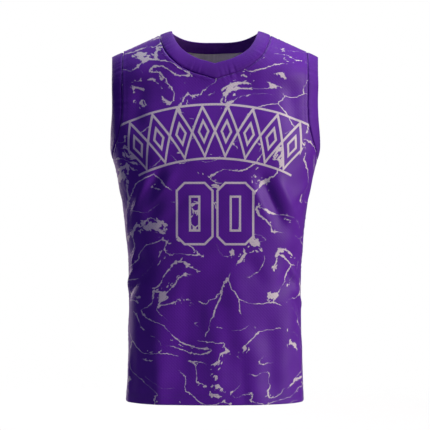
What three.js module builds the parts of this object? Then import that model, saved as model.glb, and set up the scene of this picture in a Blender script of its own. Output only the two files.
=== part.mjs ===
// Sleeveless basketball jersey, filled out as worn and hollow inside.
// Millimetres, +Z up. The front faces -Y and +X is on the right of someone who looks at the front.
// The origin lies between the shoulders, on the line of the shoulder seams and at the height of their middle.

import * as THREE from "three";

// Cloth
const PANEL_WALL = 1.5;
const BAND_WALL = 2.6;
const SEAM_GAP = 0.3;

// Body form
const SHOULDER_HALF_WIDTH = 226;
const CORNER_ROUNDNESS = 2.8;
const HEM_Z = -747;

// Cloth goes over the shoulder in a quarter round, and down from there. Heights of the round at neck and armhole:
const NECK_ROUND = 95;
const ARM_ROUND = 66;

// Shoulder line: level across the neck, then falling outwards.
const NECK_TOP_Z = 30.2;
const NECK_LEVEL_HALF = 78;
const NECK_EASE = 18;
const SHOULDER_SLOPE = 0.467;

// Run of cloth from the shoulder line to the hem, down the centre.
const HEM_RUN = (NECK_ROUND * Math.PI) / 2 + NECK_TOP_Z - NECK_ROUND - HEM_Z;

// Run down the centre to the row of cells that ends at the underarm. It is lower than the underarm, so that the cells
// under the armhole stay open.
const CHEST_RUN = 322;

// Number of rows and columns in the grids
const NECK_ROWS = 11;
const ARM_ROWS = 16;
const BODY_ROWS = 38;
const HALF_COLUMNS = 14;
const BAND_COLUMNS = 3;
const BACK_NECK_ROWS = 9;

// Half-width, and depths in front of and behind the shoulder line, from the shoulders to the hem
const BODY_SECTIONS = [
  { z: 40, halfWidth: 226, frontDepth: 86, backDepth: 88 },
  { z: -90, halfWidth: 226, frontDepth: 95, backDepth: 101 },
  { z: -165, halfWidth: 224.5, frontDepth: 110, backDepth: 113 },
  { z: -221, halfWidth: 219, frontDepth: 118, backDepth: 117 },
  { z: -250, halfWidth: 212, frontDepth: 120, backDepth: 116 },
  { z: -303, halfWidth: 200, frontDepth: 120, backDepth: 111 },
  { z: -344, halfWidth: 193, frontDepth: 118, backDepth: 106 },
  { z: -404, halfWidth: 186, frontDepth: 113, backDepth: 100 },
  { z: -464, halfWidth: 181.5, frontDepth: 109, backDepth: 97 },
  { z: -545, halfWidth: 180, frontDepth: 107, backDepth: 97 },
  { z: -650, halfWidth: 182.5, frontDepth: 109, backDepth: 102 },
  { z: -747, halfWidth: 187, frontDepth: 113, backDepth: 108 },
];

// Neckline seam and neck edge from shoulder to centre front: distance from the centre and run of cloth
const FRONT_NECK = [
  { seamX: 117, seamRun: 0, edgeX: 92, edgeRun: 0 },
  { seamX: 115, seamRun: 36, edgeX: 89, edgeRun: 38 },
  { seamX: 110, seamRun: 70, edgeX: 83, edgeRun: 70 },
  { seamX: 98, seamRun: 104, edgeX: 72, edgeRun: 93 },
  { seamX: 78, seamRun: 130, edgeX: 55, edgeRun: 109 },
  { seamX: 50, seamRun: 147, edgeX: 34, edgeRun: 121 },
  { seamX: 24, seamRun: 156, edgeX: 16, edgeRun: 127 },
  { seamX: 0, seamRun: 164, edgeX: 0, edgeRun: 132 },
];

// The same from shoulder to centre back
const BACK_NECK = [
  { seamX: 117, seamRun: 0, edgeX: 92, edgeRun: 0 },
  { seamX: 113, seamRun: 38, edgeX: 89, edgeRun: 24 },
  { seamX: 99, seamRun: 66, edgeX: 78, edgeRun: 43 },
  { seamX: 74, seamRun: 82, edgeX: 58, edgeRun: 56 },
  { seamX: 40, seamRun: 89, edgeX: 30, edgeRun: 62 },
  { seamX: 0, seamRun: 91, edgeX: 0, edgeRun: 63 },
];

// Armhole seam and edge from shoulder to underarm: degrees round from the centre and run of cloth
const ARMHOLE = [
  { seamTurn: 51.3, seamRun: 0, edgeTurn: 64.8, edgeRun: 0 },
  { seamTurn: 51.2, seamRun: 60, edgeTurn: 63, edgeRun: 55 },
  { seamTurn: 51, seamRun: 115, edgeTurn: 62.3, edgeRun: 110 },
  { seamTurn: 51.2, seamRun: 178, edgeTurn: 62.6, edgeRun: 160 },
  { seamTurn: 53.5, seamRun: 212, edgeTurn: 65.5, edgeRun: 194 },
  { seamTurn: 61, seamRun: 241, edgeTurn: 73, edgeRun: 223 },
  { seamTurn: 75, seamRun: 262, edgeTurn: 82, edgeRun: 239 },
  { seamTurn: 90, seamRun: 270, edgeTurn: 90, edgeRun: 242 },
];

// Folds: from one end to the other as seen from the front, half-width, and height out of the cloth
const FRONT_FOLDS = [
  { x0: -104, z0: -250, x1: -146, z1: -392, width: 17, height: -6 },
  { x0: -128, z0: -262, x1: -164, z1: -400, width: 17, height: 4.5 },
  { x0: 84, z0: -250, x1: 146, z1: -412, width: 18, height: -6 },
  { x0: 112, z0: -262, x1: 168, z1: -400, width: 17, height: 4.5 },
  { x0: -176, z0: -402, x1: -134, z1: -505, width: 17, height: -4 },
  { x0: 176, z0: -410, x1: 128, z1: -540, width: 17, height: -4 },
  { x0: 30, z0: -420, x1: 66, z1: -690, width: 26, height: 5 },
  { x0: -44, z0: -440, x1: -70, z1: -747, width: 24, height: -5 },
  { x0: -112, z0: -520, x1: -122, z1: -790, width: 24, height: 6 },
  { x0: 110, z0: -530, x1: 120, z1: -790, width: 22, height: -6 },
  { x0: 8, z0: -540, x1: 2, z1: -790, width: 22, height: 5 },
  { x0: -150, z0: -70, x1: -168, z1: -205, width: 18, height: -4 },
  { x0: 150, z0: -70, x1: 168, z1: -205, width: 18, height: -4 },
];
const BACK_FOLDS = [
  { x0: -70, z0: -62, x1: 76, z1: -58, width: 16, height: -4 },
  { x0: -92, z0: -300, x1: -98, z1: -520, width: 18, height: 5 },
  { x0: -48, z0: -400, x1: -20, z1: -600, width: 19, height: -6 },
  { x0: -56, z0: -400, x1: -104, z1: -620, width: 20, height: -6 },
  { x0: 66, z0: -410, x1: 92, z1: -640, width: 20, height: -5 },
  { x0: 30, z0: -440, x1: 34, z1: -790, width: 22, height: 6 },
  { x0: 150, z0: -300, x1: 126, z1: -430, width: 18, height: -5 },
  { x0: -150, z0: -300, x1: -132, z1: -420, width: 18, height: -5 },
  { x0: -74, z0: -560, x1: -70, z1: -790, width: 22, height: 6 },
  { x0: 112, z0: -560, x1: 120, z1: -790, width: 22, height: 6 },
  { x0: 156, z0: -80, x1: 168, z1: -210, width: 18, height: -4 },
  { x0: -156, z0: -80, x1: -168, z1: -210, width: 18, height: -4 },
];

// Part of a fold's length over which each end runs out, and the width beside the shoulder seams, in millimetres, and
// beside the side seams, in degrees, over which folds die away
const FOLD_TAPER = 0.35;
const SHOULDER_FADE = 45;
const SIDE_FADE = 14;

// Steps for working out outward directions, in radians of turn, and the lengths of curves
const NORMAL_STEP = 0.01;
const CURVE_STEPS = 400;

// Value of one column of a table at a height, on a smooth curve through its rows
function valueAt(rows, column, z) {
  const last = rows.length - 1;
  let i = 0;
  while (i < last - 1 && z < rows[i + 1].z) i += 1;
  const slope = (k) => {
    const above = rows[Math.max(k - 1, 0)];
    const below = rows[Math.min(k + 1, last)];
    return (below[column] - above[column]) / (below.z - above.z);
  };
  const span = rows[i + 1].z - rows[i].z;
  const t = THREE.MathUtils.clamp((z - rows[i].z) / span, 0, 1);
  const start = rows[i][column];
  const end = rows[i + 1][column];
  return (
    start * (2 * t ** 3 - 3 * t ** 2 + 1) +
    end * (3 * t ** 2 - 2 * t ** 3) +
    span * slope(i) * (t ** 3 - 2 * t ** 2 + t) +
    span * slope(i + 1) * (t ** 3 - t ** 2)
  );
}

function shoulderLineZ(x) {
  const past = Math.max(x - NECK_LEVEL_HALF, 0);
  return NECK_TOP_Z - SHOULDER_SLOPE * (Math.hypot(past, NECK_EASE) - NECK_EASE);
}

// Direction round the body's rounded-rectangle section, in parts of its half-width and depth
function around(turn) {
  const across = Math.sin(turn);
  const forward = Math.cos(turn);
  const sum = Math.abs(across) ** CORNER_ROUNDNESS + Math.abs(forward) ** CORNER_ROUNDNESS;
  const reach = sum ** (-1 / CORNER_ROUNDNESS);
  return { across: across * reach, forward: forward * reach };
}

// Turn at which the shoulder line is x from the centre
function turnAt(x) {
  const across = x / SHOULDER_HALF_WIDTH;
  const forward = (1 - across ** CORNER_ROUNDNESS) ** (1 / CORNER_ROUNDNESS);
  return Math.atan2(across, forward);
}

// Smooth body form. A place on the cloth is its turn from the centre, in radians, and its run from the shoulder
// line, which is positive on the front and negative on the back.
function bodyPoint({ turn, run }) {
  const { across, forward } = around(turn);
  const length = Math.abs(run);
  const top = shoulderLineZ(SHOULDER_HALF_WIDTH * Math.abs(across));
  const round = NECK_ROUND + (ARM_ROUND - NECK_ROUND) * across ** 2;
  const roundRun = (round * Math.PI) / 2;
  const bend = Math.min(length / round, Math.PI / 2);
  const fall = Math.max(length - roundRun, 0) / (HEM_RUN - roundRun);
  const z = top - round * (1 - Math.cos(bend)) + (HEM_Z - top + round) * fall;
  const depth = run < 0 ? valueAt(BODY_SECTIONS, "backDepth", z) : -valueAt(BODY_SECTIONS, "frontDepth", z);
  return new THREE.Vector3(
    valueAt(BODY_SECTIONS, "halfWidth", z) * across,
    depth * forward * Math.sin(bend),
    z,
  );
}

function bodyNormal({ turn, run }) {
  const round = bodyPoint({ turn: turn + NORMAL_STEP, run }).sub(bodyPoint({ turn: turn - NORMAL_STEP, run }));
  const reach = NORMAL_STEP * SHOULDER_HALF_WIDTH;
  const down = bodyPoint({ turn, run: run + reach }).sub(bodyPoint({ turn, run: run - reach }));
  return down.cross(round).normalize();
}

// Height of the folds at a point of the body form
function foldHeight(point, { turn, run }) {
  const ease = THREE.MathUtils.smoothstep;
  let height = 0;
  for (const fold of run < 0 ? BACK_FOLDS : FRONT_FOLDS) {
    const dx = fold.x1 - fold.x0;
    const dz = fold.z1 - fold.z0;
    const length = Math.hypot(dx, dz);
    const along = ((point.x - fold.x0) * dx + (point.z - fold.z0) * dz) / length ** 2;
    const aside = ((point.x - fold.x0) * dz - (point.z - fold.z0) * dx) / length;
    const taper = ease(along, 0, FOLD_TAPER) * (1 - ease(along, 1 - FOLD_TAPER, 1));
    height += fold.height * taper * Math.exp(-((aside / fold.width) ** 2));
  }
  const fromSide = 90 - THREE.MathUtils.radToDeg(Math.abs(turn));
  return height * ease(Math.abs(run), 0, SHOULDER_FADE) * ease(fromSide, 0, SIDE_FADE);
}

// Point and outward direction of the folded cloth at a place
function clothAt(place) {
  const normal = bodyNormal(place);
  const base = bodyPoint(place);
  const point = base.clone().addScaledVector(normal, foldHeight(base, place));
  return { point, normal };
}

// Places along a curve at equal steps of the body form, from a list of places that it passes through
function spacedPlaces(places, count) {
  const curve = new THREE.SplineCurve(
    places.map(({ turn, run }) => new THREE.Vector2(turn * SHOULDER_HALF_WIDTH, run)),
  );
  const fine = curve.getPoints(CURVE_STEPS).map((p) => ({ turn: p.x / SHOULDER_HALF_WIDTH, run: p.y }));
  const reach = [0];
  for (let i = 1; i < fine.length; i += 1) {
    reach.push(reach[i - 1] + bodyPoint(fine[i]).distanceTo(bodyPoint(fine[i - 1])));
  }
  const total = reach[reach.length - 1];
  const spaced = [];
  let k = 0;
  for (let i = 0; i <= count; i += 1) {
    const wanted = (total * i) / count;
    while (k < fine.length - 2 && reach[k + 1] < wanted) k += 1;
    const t = (wanted - reach[k]) / (reach[k + 1] - reach[k]);
    spaced.push(between(fine[k], fine[k + 1], THREE.MathUtils.clamp(t, 0, 1)));
  }
  return spaced;
}

function between(a, b, t) {
  return {
    turn: THREE.MathUtils.lerp(a.turn, b.turn, t),
    run: THREE.MathUtils.lerp(a.run, b.run, t),
  };
}

// Places at equal steps between two, without the first
function steps(from, to, count) {
  return Array.from({ length: count }, (_, i) => between(from, to, (i + 1) / count));
}

const mirrored = ({ turn, run }) => ({ turn: -turn, run });
const onBack = ({ turn, run }) => ({ turn, run: -run });

// Seams and edges, each from the shoulder line downwards on the right of the front
const neckPlaces = (rows, line) => rows.map((row) => ({ turn: turnAt(row[line + "X"]), run: row[line + "Run"] }));
const frontNeck = {
  seam: spacedPlaces(neckPlaces(FRONT_NECK, "seam"), NECK_ROWS),
  edge: spacedPlaces(neckPlaces(FRONT_NECK, "edge"), NECK_ROWS),
};
const backNeck = {
  seam: spacedPlaces(neckPlaces(BACK_NECK, "seam"), BACK_NECK_ROWS).map(onBack),
  edge: spacedPlaces(neckPlaces(BACK_NECK, "edge"), BACK_NECK_ROWS).map(onBack),
};
const armPlaces = (line) =>
  ARMHOLE.map((row) => ({ turn: THREE.MathUtils.degToRad(row[line + "Turn"]), run: row[line + "Run"] }));
const armhole = {
  seam: spacedPlaces(armPlaces("seam"), ARM_ROWS),
  edge: spacedPlaces(armPlaces("edge"), ARM_ROWS),
};

// An open surface: vertices with a point and a normal, and triangles of their numbers that face outwards
class Surface {
  constructor() {
    this.vertices = [];
    this.triangles = [];
  }

  add(place) {
    this.vertices.push(clothAt(place));
    return this.vertices.length - 1;
  }

  // Two triangles between four vertices that go round a cell
  cell(a, b, c, d) {
    for (const triangle of [[a, b, c], [a, c, d]]) {
      const [p, q, r] = triangle.map((i) => this.vertices[i].point);
      const facing = q.clone().sub(p).cross(r.clone().sub(p));
      const outward = facing.dot(this.vertices[triangle[0]].normal) > 0;
      this.triangles.push(outward ? triangle : [triangle[0], triangle[2], triangle[1]]);
    }
  }

  // Cells between the rows of a grid of vertex numbers
  grid(rows) {
    for (let i = 0; i + 1 < rows.length; i += 1) {
      for (let j = 0; j + 1 < rows[i].length; j += 1) {
        this.cell(rows[i][j], rows[i + 1][j], rows[i + 1][j + 1], rows[i][j + 1]);
      }
    }
  }

  // Edges with a triangle on one side only, in that triangle's direction
  rim() {
    const seen = new Set(this.triangles.flatMap(([a, b, c]) => [`${a}-${b}`, `${b}-${c}`, `${c}-${a}`]));
    return this.triangles
      .flatMap(([a, b, c]) => [[a, b], [b, c], [c, a]])
      .filter(([from, to]) => !seen.has(`${to}-${from}`));
  }

  // Moves the rim inwards along the surface by a distance
  drawIn(distance) {
    const sides = new Map();
    for (const [from, to] of this.rim()) {
      const along = this.vertices[to].point.clone().sub(this.vertices[from].point).normalize();
      for (const end of [from, to]) {
        const inward = this.vertices[end].normal.clone().cross(along).normalize();
        sides.set(end, [...(sides.get(end) ?? []), inward]);
      }
    }
    for (const [i, [first, second]] of sides) {
      const mitre = first.clone().add(second).multiplyScalar(distance / (1 + first.dot(second)));
      this.vertices[i].point.add(mitre);
    }
  }

  // Closed wall of a thickness, with the surface at its middle
  wall(thickness) {
    const count = this.vertices.length;
    const positions = [];
    for (const side of [0.5, -0.5]) {
      for (const { point, normal } of this.vertices) {
        positions.push(...point.clone().addScaledVector(normal, side * thickness));
      }
    }
    const index = [];
    for (const [a, b, c] of this.triangles) {
      index.push(a, b, c, a + count, c + count, b + count);
    }
    for (const [from, to] of this.rim()) {
      index.push(from, from + count, to + count, from, to + count, to);
    }
    const geometry = new THREE.BufferGeometry();
    geometry.setAttribute("position", new THREE.Float32BufferAttribute(positions, 3));
    geometry.setIndex(index);
    geometry.computeVertexNormals();
    return geometry;
  }
}

// A panel from the shoulder line to the hem: each half is a grid from the neckline and the centre line to the
// armhole and the side, and the halves share the vertices of the centre line.
function panel(neckSeam, toSide) {
  const neckRows = neckSeam.length - 1;
  const armSeam = armhole.seam.map(toSide);
  const chest = toSide({ turn: 0, run: CHEST_RUN });
  const inner = [
    ...neckSeam,
    ...steps(neckSeam[neckRows], chest, ARM_ROWS - neckRows),
    ...steps(chest, toSide({ turn: 0, run: HEM_RUN }), BODY_ROWS - ARM_ROWS),
  ];
  const outer = [
    ...armSeam,
    ...steps(armSeam[ARM_ROWS], toSide({ turn: Math.PI / 2, run: HEM_RUN }), BODY_ROWS - ARM_ROWS),
  ];
  const surface = new Surface();
  const half = (reflect, centreLine) =>
    inner.map((start, i) => {
      const row = [];
      for (let j = 0; j <= HALF_COLUMNS; j += 1) {
        const shared = j === 0 && i >= neckRows && centreLine;
        const place = reflect(between(start, outer[i], j / HALF_COLUMNS));
        row.push(shared ? centreLine[i][0] : surface.add(place));
      }
      return row;
    });
  const right = half((place) => place, null);
  const left = half(mirrored, right);
  surface.grid(right);
  surface.grid(left);
  surface.drawIn(SEAM_GAP / 2);
  return surface.wall(PANEL_WALL);
}

// A band between two closed lines of places
function band(seam, edge) {
  const surface = new Surface();
  const rows = seam.map((start, i) => {
    const row = [];
    for (let j = 0; j <= BAND_COLUMNS; j += 1) {
      row.push(surface.add(between(start, edge[i], j / BAND_COLUMNS)));
    }
    return row;
  });
  surface.grid([...rows, rows[0]]);
  surface.drawIn(SEAM_GAP / 2);
  return surface.wall(BAND_WALL);
}

// Round the neck: down the back on the right, up on the left, down the front on the left and up on the right
function neckRing(line) {
  const back = backNeck[line];
  const front = frontNeck[line];
  return [
    ...back,
    ...back.slice(1, -1).reverse().map(mirrored),
    ...front.slice(0, -1).map(mirrored),
    ...front.slice(1).reverse(),
  ];
}

// Round an armhole: down its front and up its back
function armRing(line, reflect) {
  const front = armhole[line];
  const back = front.slice(1, -1).reverse().map(onBack);
  return [...front, ...back].map(reflect);
}

function piece(name, geometry, colour, roughness) {
  const material = new THREE.MeshStandardMaterial({ color: colour, roughness, metalness: 0 });
  const mesh = new THREE.Mesh(geometry, material);
  mesh.name = name;
  return mesh;
}

const PRINTED_KNIT = 0x4b1c82;
const RIB_KNIT = 0x451680;
const asItIs = (place) => place;
const armBand = (reflect) => band(armRing("seam", reflect), armRing("edge", reflect));

const jersey = new THREE.Group();
jersey.add(
  piece("front_panel", panel(frontNeck.seam, asItIs), PRINTED_KNIT, 0.62),
  piece("back_panel", panel(backNeck.seam, onBack), PRINTED_KNIT, 0.62),
  piece("neckband", band(neckRing("seam"), neckRing("edge")), RIB_KNIT, 0.7),
  piece("right_arm_band", armBand(asItIs), RIB_KNIT, 0.7),
  piece("left_arm_band", armBand(mirrored), RIB_KNIT, 0.7),
);

export default jersey;
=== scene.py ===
# Sleeveless basketball jersey, filled out as worn: two printed knit panels, a V neckband and two armhole bands,
# with their seams, stitches and turned-up hem. The form is worked out in millimetres and made in metres.
import math

import bpy
import numpy as np
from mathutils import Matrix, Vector


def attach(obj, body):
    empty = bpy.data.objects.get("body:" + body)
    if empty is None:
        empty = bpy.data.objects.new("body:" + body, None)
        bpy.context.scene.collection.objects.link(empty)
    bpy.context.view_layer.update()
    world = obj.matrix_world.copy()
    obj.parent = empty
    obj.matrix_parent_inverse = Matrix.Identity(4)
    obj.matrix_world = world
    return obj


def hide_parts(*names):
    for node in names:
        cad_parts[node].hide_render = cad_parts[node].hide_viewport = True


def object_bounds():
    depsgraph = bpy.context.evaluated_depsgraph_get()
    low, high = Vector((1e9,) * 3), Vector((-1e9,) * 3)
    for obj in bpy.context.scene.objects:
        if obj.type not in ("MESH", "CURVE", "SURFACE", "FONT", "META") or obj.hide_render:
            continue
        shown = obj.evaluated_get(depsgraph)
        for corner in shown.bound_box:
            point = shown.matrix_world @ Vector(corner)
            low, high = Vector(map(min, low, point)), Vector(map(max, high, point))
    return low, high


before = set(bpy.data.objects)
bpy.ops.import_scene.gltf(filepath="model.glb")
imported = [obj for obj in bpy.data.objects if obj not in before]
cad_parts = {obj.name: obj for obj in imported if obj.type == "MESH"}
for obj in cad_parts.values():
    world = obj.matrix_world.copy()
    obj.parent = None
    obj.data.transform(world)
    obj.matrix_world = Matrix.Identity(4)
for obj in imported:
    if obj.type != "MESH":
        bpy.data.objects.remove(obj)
cad_low, cad_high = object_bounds()
MM = 0.001


def table(columns, rows):
    """Named columns of a table."""
    return dict(zip(columns.split(), np.array(rows, float).T))


# Body form, in millimetres. The shoulder line is level over the neck and falls outwards, and the cloth goes over it
# in a quarter round.
SHOULDER_HALF_WIDTH = 226
CORNER_ROUNDNESS = 2.8
HEM_Z = -747
NECK_ROUND = 95
ARM_ROUND = 66
NECK_TOP_Z = 30.2
NECK_LEVEL_HALF = 78
NECK_EASE = 18
SHOULDER_SLOPE = 0.467
HEM_RUN = NECK_ROUND * math.pi / 2 + NECK_TOP_Z - NECK_ROUND - HEM_Z

BODY_SECTIONS = table(
    "z half_width front_depth back_depth",
    [
        (40, 226, 86, 88),
        (-90, 226, 95, 101),
        (-165, 224.5, 110, 113),
        (-221, 219, 118, 117),
        (-250, 212, 120, 116),
        (-303, 200, 120, 111),
        (-344, 193, 118, 106),
        (-404, 186, 113, 100),
        (-464, 181.5, 109, 97),
        (-545, 180, 107, 97),
        (-650, 182.5, 109, 102),
        (-747, 187, 113, 108),
    ],
)

# Neckline seam and neck edge, from the shoulder line to the centre: distance from the centre and run of cloth
FRONT_NECK = table(
    "seam_x seam_run edge_x edge_run",
    [
        (117, 0, 92, 0),
        (115, 36, 89, 38),
        (110, 70, 83, 70),
        (98, 104, 72, 93),
        (78, 130, 55, 109),
        (50, 147, 34, 121),
        (24, 156, 16, 127),
        (0, 164, 0, 132),
    ],
)
BACK_NECK = table(
    "seam_x seam_run edge_x edge_run",
    [
        (117, 0, 92, 0),
        (113, 38, 89, 24),
        (99, 66, 78, 43),
        (74, 82, 58, 56),
        (40, 89, 30, 62),
        (0, 91, 0, 63),
    ],
)

# Armhole seam and edge, from the shoulder line to the underarm: degrees round from the centre and run of cloth
ARMHOLE = table(
    "seam_turn seam_run edge_turn edge_run",
    [
        (51.3, 0, 64.8, 0),
        (51.2, 60, 63, 55),
        (51, 115, 62.3, 110),
        (51.2, 178, 62.6, 160),
        (53.5, 212, 65.5, 194),
        (61, 241, 73, 223),
        (75, 262, 82, 239),
        (90, 270, 90, 242),
    ],
)

# Main folds, as seen from the front: ends, half-width, and height out of the cloth
FOLD_COLUMNS = "x0 z0 x1 z1 width height"
FRONT_FOLDS = table(
    FOLD_COLUMNS,
    [
        (-104, -250, -146, -392, 17, -6),
        (-128, -262, -164, -400, 17, 4.5),
        (84, -250, 146, -412, 18, -6),
        (112, -262, 168, -400, 17, 4.5),
        (-176, -402, -134, -505, 17, -4),
        (176, -410, 128, -540, 17, -4),
        (30, -420, 66, -690, 26, 5),
        (-44, -440, -70, -747, 24, -5),
        (-112, -520, -122, -790, 24, 6),
        (110, -530, 120, -790, 22, -6),
        (8, -540, 2, -790, 22, 5),
        (-150, -70, -168, -205, 18, -4),
        (150, -70, 168, -205, 18, -4),
    ],
)
BACK_FOLDS = table(
    FOLD_COLUMNS,
    [
        (-70, -62, 76, -58, 16, -4),
        (-92, -300, -98, -520, 18, 5),
        (-48, -400, -20, -600, 19, -6),
        (-56, -400, -104, -620, 20, -6),
        (66, -410, 92, -640, 20, -5),
        (30, -440, 34, -790, 22, 6),
        (150, -300, 126, -430, 18, -5),
        (-150, -300, -132, -420, 18, -5),
        (-74, -560, -70, -790, 22, 6),
        (112, -560, 120, -790, 22, 6),
        (156, -80, 168, -210, 18, -4),
        (-156, -80, -168, -210, 18, -4),
    ],
)
FOLD_TAPER = 0.35
SHOULDER_FADE = 45
SIDE_FADE = 14

# Finer creases all round: ends by degrees from the centre front, right of it positive, and by height; then bow
# sideways, half-width, height out of the cloth, and how sharp the crest is
CREASES = table(
    "turn0 z0 turn1 z1 bow width height crest",
    [
        (-50, -418, -67, -474, 3, 7, 4.0, 1.3),
        (-47, -430, -60, -486, 3, 9, -3.5, 1.6),
        (-48, -458, -88, -532, 5, 7.5, 4.5, 1.3),
        (-44, -474, -80, -548, 5, 11, -4.5, 1.6),
        (-56, -330, -72, -404, -4, 10, 2.5, 1.6),
        (50, -452, 64, -500, 3, 7, 3.2, 1.3),
        (47, -462, 60, -516, 3, 10, -3.2, 1.6),
        (54, -500, 84, -560, 4, 8, 3.4, 1.4),
        (51, -516, 78, -574, 4, 11, -3.2, 1.6),
        (76, -262, 44, -336, -5, 11, 2.6, 1.6),
        (80, -270, 56, -372, -6, 12, 2.8, 1.6),
        (72, -266, 46, -356, -5, 9, -2.6, 1.6),
        (-76, -262, -46, -330, 5, 11, 2.4, 1.6),
        (-80, -272, -58, -366, 6, 12, 2.8, 1.6),
        (-70, -266, -46, -350, 5, 9, -2.4, 1.6),
        (28, -206, 44, -300, 4, 12, 2.0, 1.8),
        (-26, -200, -42, -296, -4, 12, 2.0, 1.8),
        (-18, -250, -46, -366, -4, 8, 6.6, 1.3),
        (-25, -244, -53, -358, -4, 9, -6.0, 1.4),
        (-33, -254, -60, -384, -5, 8, 6.2, 1.3),
        (-13, -300, -37, -398, -5, 12, -3.0, 1.6),
        (24, -262, 47, -392, 4, 7, -5.4, 1.2),
        (17, -266, 40, -404, 4, 10, 4.2, 1.5),
        (31, -256, 55, -378, 4, 10, 4.0, 1.5),
        (20, -420, 34, -520, 6, 14, -2.4, 1.8),
        (-18, -430, -30, -560, -6, 15, 2.4, 1.8),
        (-6, -470, -10, -640, 4, 14, -2.2, 1.8),
        (62, -590, 66, -770, 4, 12, 4.0, 1.6),
        (-66, -600, -64, -780, -4, 12, 4.0, 1.6),
        (18, -620, 20, -790, 3, 12, -3.0, 1.7),
        (-34, -640, -36, -790, -3, 12, 3.4, 1.7),
        (-171, -278, -159, -526, 4, 9, -5.0, 1.3),
        (-161, -300, -150, -540, 5, 12, 4.4, 1.5),
        (178, -422, 143, -562, 6, 10, 4.6, 1.4),
        (171, -424, 137, -548, 6, 11, -4.0, 1.5),
        (168, -232, 162, -410, 5, 11, 4.0, 1.5),
        (161, -236, 155, -400, 5, 11, -3.6, 1.5),
        (-170, -280, -158, -420, 6, 10, -4.2, 1.4),
        (-163, -270, -150, -430, 6, 11, 4.2, 1.5),
        (-176, -410, -150, -600, 6, 12, 4.4, 1.4),
        (176, -420, 152, -610, -6, 12, 4.4, 1.4),
        (170, -440, 144, -600, -6, 12, -4.0, 1.5),
        (104, -266, 132, -350, 5, 11, 2.8, 1.6),
        (100, -272, 122, -392, 6, 12, -2.8, 1.6),
        (-104, -266, -134, -352, -5, 11, 2.8, 1.6),
        (-100, -272, -120, -392, -6, 12, -2.8, 1.6),
        (118, -438, 96, -500, -4, 8, 4.0, 1.3),
        (122, -452, 100, -516, -4, 11, -3.6, 1.6),
        (-116, -446, -94, -512, 4, 8, 4.0, 1.3),
        (-122, -462, -100, -528, 4, 11, -3.6, 1.6),
        (164, -430, 158, -560, 6, 13, 3.2, 1.7),
        (-170, -430, -158, -590, -6, 13, 3.2, 1.7),
        (-148, -420, -142, -540, -6, 11, -3.0, 1.6),
        (172, -560, 170, -780, 4, 14, 3.2, 1.7),
        (-150, -610, -148, -790, 4, 13, -3.4, 1.7),
        (128, -600, 130, -790, 4, 12, 3.6, 1.7),
    ],
)
CREASE_TAPER = 0.42
DEGREE_OF_GIRTH = 2.85

# Slack of the cloth between its folds: number of waves, least and greatest wavelength, and height of all together
SLACK_WAVES = 14
SLACK_WAVELENGTHS = (46, 150)
SLACK_HEIGHT = 0.55

# Seams: a groove, the step of the seam allowance on the panel's side, and puckers that die away from it
GROOVE_DEPTH = 1.5
GROOVE_REACH = 1.9
ALLOWANCE_RISE = 0.45
ALLOWANCE_WIDTH = 7
PUCKER_HEIGHT = 0.6
PUCKER_LENGTH = 10.5
PUCKER_REACH = 10

# Cloth and sewing
PANEL_THICKNESS = 0.9
BAND_THICKNESS = 1.0
BAND_PUFF = 0.5
BAND_SLACK = 0.1
HEM_ALLOWANCE = 22
HEM_FOLD_RADIUS = 0.8
STITCH_LENGTH = 2.7
STITCH_GAP = 0.7
THREAD_THICKNESS = 0.55
THREAD_LIFT = 0.02
TOPSTITCH_INSET = 3.2
HEM_ROW_INSETS = (1.5, 7)

# Cells of the cloth
NECK_ROWS = 70
ARM_ROWS = 104
BODY_ROWS = 226
HALF_COLUMNS = 88
CHEST_RUN = 322
EDGE_CROWDING = 0.6
BAND_STEPS = 130
BAND_COLUMNS = 12
FOLD_STEPS = 6

# Points along each seam, a millimetre or so apart, and where the shoulder seams end
SIDE_POINTS = 520
NECK_POINTS = 210
ARM_POINTS = 300
SHOULDER_POINTS = 90
SHOULDER_SEAM_END_X = 194


def smoothstep(x, low, high):
    t = np.clip((x - low) / (high - low), 0, 1)
    return t * t * (3 - 2 * t)


def value_at(rows, column, z):
    """Value of a column at a height, on a smooth curve through the table's rows."""
    knots, values = rows["z"], rows[column]
    last = len(knots) - 1
    above = np.maximum(np.arange(last + 1) - 1, 0)
    below = np.minimum(np.arange(last + 1) + 1, last)
    slopes = (values[below] - values[above]) / (knots[below] - knots[above])
    i = np.clip(np.searchsorted(-knots, -z, side="right") - 1, 0, last - 1)
    span = knots[i + 1] - knots[i]
    t = np.clip((z - knots[i]) / span, 0, 1)
    return (
        values[i] * (2 * t**3 - 3 * t**2 + 1)
        + values[i + 1] * (3 * t**2 - 2 * t**3)
        + span * slopes[i] * (t**3 - 2 * t**2 + t)
        + span * slopes[i + 1] * (t**3 - t**2)
    )


def around(turn):
    """Direction round the body's rounded-rectangle section, in parts of its half-width and depth."""
    across, forward = np.sin(turn), np.cos(turn)
    total = np.abs(across) ** CORNER_ROUNDNESS + np.abs(forward) ** CORNER_ROUNDNESS
    reach = total ** (-1 / CORNER_ROUNDNESS)
    return across * reach, forward * reach


def turn_at(x):
    """Turn at which the shoulder line is x from the centre."""
    across = x / SHOULDER_HALF_WIDTH
    return np.arctan2(across, (1 - across**CORNER_ROUNDNESS) ** (1 / CORNER_ROUNDNESS))


def shoulder_round(turn):
    """Height of the shoulder line and of the quarter round below it."""
    across = np.abs(around(turn)[0])
    past = np.maximum(across * SHOULDER_HALF_WIDTH - NECK_LEVEL_HALF, 0)
    top = NECK_TOP_Z - SHOULDER_SLOPE * (np.hypot(past, NECK_EASE) - NECK_EASE)
    return top, NECK_ROUND + (ARM_ROUND - NECK_ROUND) * across**2


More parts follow.
